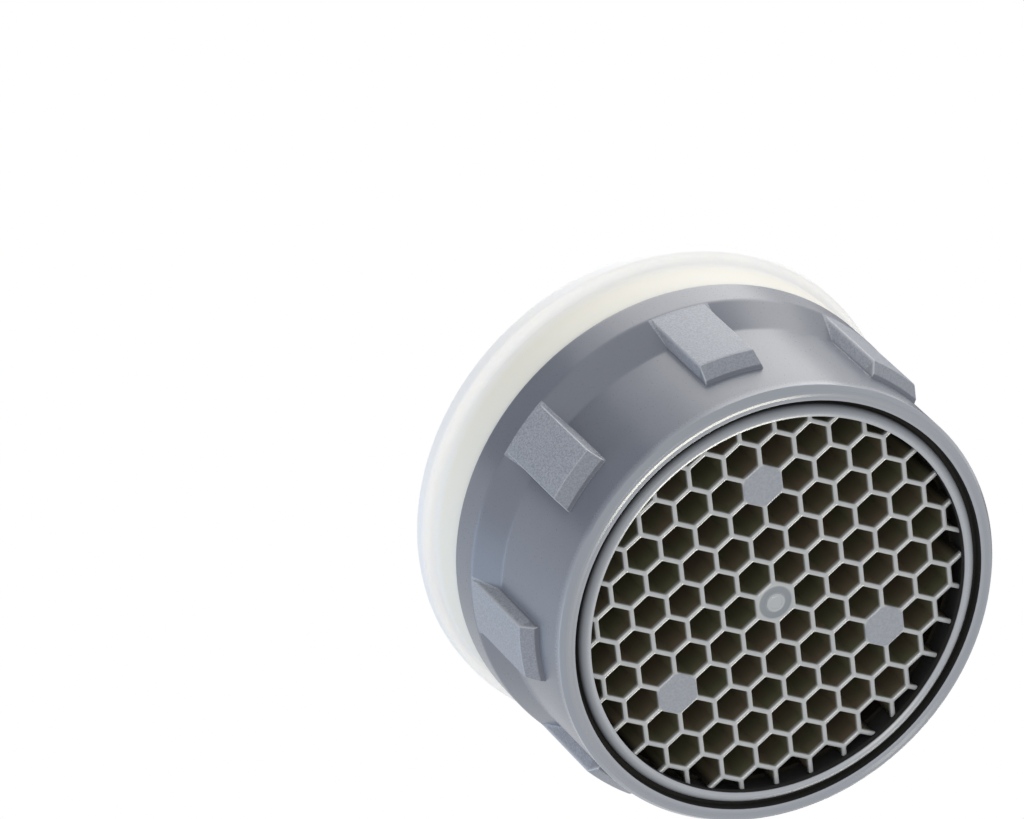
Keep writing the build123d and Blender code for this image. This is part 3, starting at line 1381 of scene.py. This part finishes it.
@dataclass
class Studio:
    """Camera at the photograph's angle, soft lamps, white surroundings and a pale floor."""

    right: Point = (0.9086562, 0.1105933, -0.4026326)
    down: Point = (-0.2819819, 0.8737065, -0.3963876)
    away: Point = (0.3079449, 0.4737152, 0.8250842)
    eye: Point = (-0.096466, -0.144785, -0.229784)
    lens: float = 244.596
    sensor: float = 36.0
    sight: Span = (0.02, 20.0)
    centre: Point = (0.0, 0.0, 0.006)
    sky: Colour = (0.97, 0.985, 1.0)
    ambient: Span = (0.87, 0.30)
    floor_colour: Colour = (0.88, 0.88, 0.88)
    floor_size: float = 3.0
    floor_drop: float = 0.00003
    lamps: tuple[Lamp, ...] = (
        Lamp("back", (0.360, -0.420, 0.830), 0.30, 0.22, 0.41, (1.0, 0.985, 0.96)),
        Lamp("key", (0.720, -0.550, 0.420), 0.28, 0.11, 0.15, (1.0, 0.985, 0.96)),
        Lamp("left", (-0.820, 0.280, 0.500), 0.28, 0.16, 0.24, (0.50, 0.71, 1.0)),
        Lamp("below", (-0.060, -0.160, -0.985), 0.30, 0.08, 0.16, (1.0, 0.96, 0.82)),
        Lamp("low_right", (0.450, 0.870, -0.200), 0.30, 0.11, 0.38, (1.0, 0.96, 0.80)),
    )
    cards: tuple[Card, ...] = (
        Card("side_card", (-0.0155, -0.0155, 0.0205), 0.017),
        Card("back_card", (0.0347, 0.0350, 0.0450), 0.048),
    )
    card_finish: MouldedPlastic = MouldedPlastic(
        "card_dark", (0.04, 0.04, 0.045), (0.05, 0.05, 0.055), (0.8, 0.9)
    )

    def add_camera(self) -> None:
        """Set up the camera."""
        data = bpy.data.cameras.new("camera")
        data.lens = self.lens
        data.sensor_width = self.sensor
        data.clip_start, data.clip_end = self.sight
        camera = link("camera", data)
        axes = Matrix((Vector(self.right), -Vector(self.down), -Vector(self.away))).transposed()
        camera.matrix_world = Matrix.Translation(Vector(self.eye)) @ axes.to_4x4()
        bpy.context.scene.camera = camera

    def add_lamp(self, lamp: Lamp) -> None:
        """Add a lamp that shines at the part.

        Args:
            lamp: The lamp.
        """
        way = Vector(lamp.toward).normalized()
        data = bpy.data.lights.new(lamp.name, "AREA")
        data.shape = "SQUARE"
        data.size = lamp.size
        data.energy = math.pi**2 * lamp.distance**2 * lamp.level
        data.color = lamp.colour
        made = link(lamp.name, data)
        made.location = Vector(self.centre) + way * lamp.distance
        made.rotation_mode = "QUATERNION"
        made.rotation_quaternion = (-way).to_track_quat("-Z", "Y")

    def add_surroundings(self) -> None:
        """Light the part softly from all round, with white to the eye and in gloss."""
        world = bpy.data.worlds.new("surroundings")
        bpy.context.scene.world = world
        world.use_nodes = True
        wires = Wiring(world.node_tree)
        along = wires.add("ShaderNodeVectorMath", operation="DOT_PRODUCT")
        along.inputs[1].default_value = self.away
        wires.join(wires.add("ShaderNodeTexCoord").outputs["Generated"], along.inputs[0])
        level = wires.ramp(along.outputs["Value"], (-1.0, 1.0), self.ambient)
        soft = wires.add("ShaderNodeBackground")
        soft.inputs["Color"].default_value = (*self.sky, 1.0)
        wires.join(level, soft.inputs["Strength"])
        white = wires.add("ShaderNodeBackground")
        white.inputs["Color"].default_value = (1.0, 1.0, 1.0, 1.0)
        white.inputs["Strength"].default_value = 1.0
        path = wires.add("ShaderNodeLightPath")
        seen = path.outputs["Is Camera Ray"]
        for name in ("Is Glossy Ray", "Is Transmission Ray"):
            seen = wires.reckon("MAXIMUM", seen, path.outputs[name])
        surface = wires.add("ShaderNodeOutputWorld").inputs["Surface"]
        wires.mix_shaders(seen, soft.outputs["Background"], white.outputs["Background"], surface)

    def add_square(self, name: str, size: float, finish: Finish) -> Piece:
        """Add a flat square of the studio that faces up.

        Args:
            name: Name of the square.
            size: Length of a side.
            finish: Material of the square.

        Returns:
            The square.
        """
        half = size / 2
        mesh = bpy.data.meshes.new(name)
        corners = [(-half, -half, 0), (half, -half, 0), (half, half, 0), (-half, half, 0)]
        mesh.from_pydata(corners, [], [(0, 1, 2, 3)])
        mesh.materials.append(finish)
        made = link(name, mesh)
        return made

    def add_floor(self) -> None:
        """Add a pale floor that is seen from above, and clear from below where the camera is."""
        material = bpy.data.materials.new("floor_pale")
        material.use_nodes = True
        wires = Wiring(material.node_tree)
        pale = wires.add("ShaderNodeBsdfDiffuse")
        pale.inputs["Color"].default_value = (*self.floor_colour, 1.0)
        clear = wires.add("ShaderNodeBsdfTransparent")
        eye = wires.add("ShaderNodeLightPath").outputs["Is Camera Ray"]
        under = wires.add("ShaderNodeNewGeometry").outputs["Backfacing"]
        above = wires.reckon("SUBTRACT", eye, under)
        surface = wires.add("ShaderNodeOutputMaterial").inputs["Surface"]
        wires.mix_shaders(above, clear.outputs["BSDF"], pale.outputs["BSDF"], surface)
        self.add_square("floor", self.floor_size, material).location.z = -self.floor_drop

    def add_card(self, card: Card, finish: Finish) -> None:
        """Stand a card beside the part, facing it.

        Args:
            card: The card.
            finish: Its material.
        """
        made = self.add_square(card.name, card.size, finish)
        made.location = card.at
        made.rotation_mode = "QUATERNION"
        facing = Vector(self.centre) - Vector(card.at)
        made.rotation_quaternion = facing.to_track_quat("Z", "Y")
        made.visible_camera = False
        made.visible_diffuse = False
        made.visible_shadow = False

    def build(self) -> None:
        """Set up the whole studio."""
        bpy.context.scene.view_settings.view_transform = "Standard"
        self.add_camera()
        self.add_surroundings()
        self.add_floor()
        for lamp in self.lamps:
            self.add_lamp(lamp)
        dark = self.card_finish.material()
        for card in self.cards:
            self.add_card(card, dark)
        LOG.info("studio: %d lamps, %d cards", len(self.lamps), len(self.cards))


def main() -> None:
    """Build and dress every piece, then the studio."""
    logging.basicConfig(level=logging.INFO, format="%(message)s")
    Housing().dress()
    Honeycomb().dress()
    SealRing().dress()
    DomeSieve().dress()
    InnerPieces().dress()
    Studio().build()


if __name__ == "__main__":
    main()
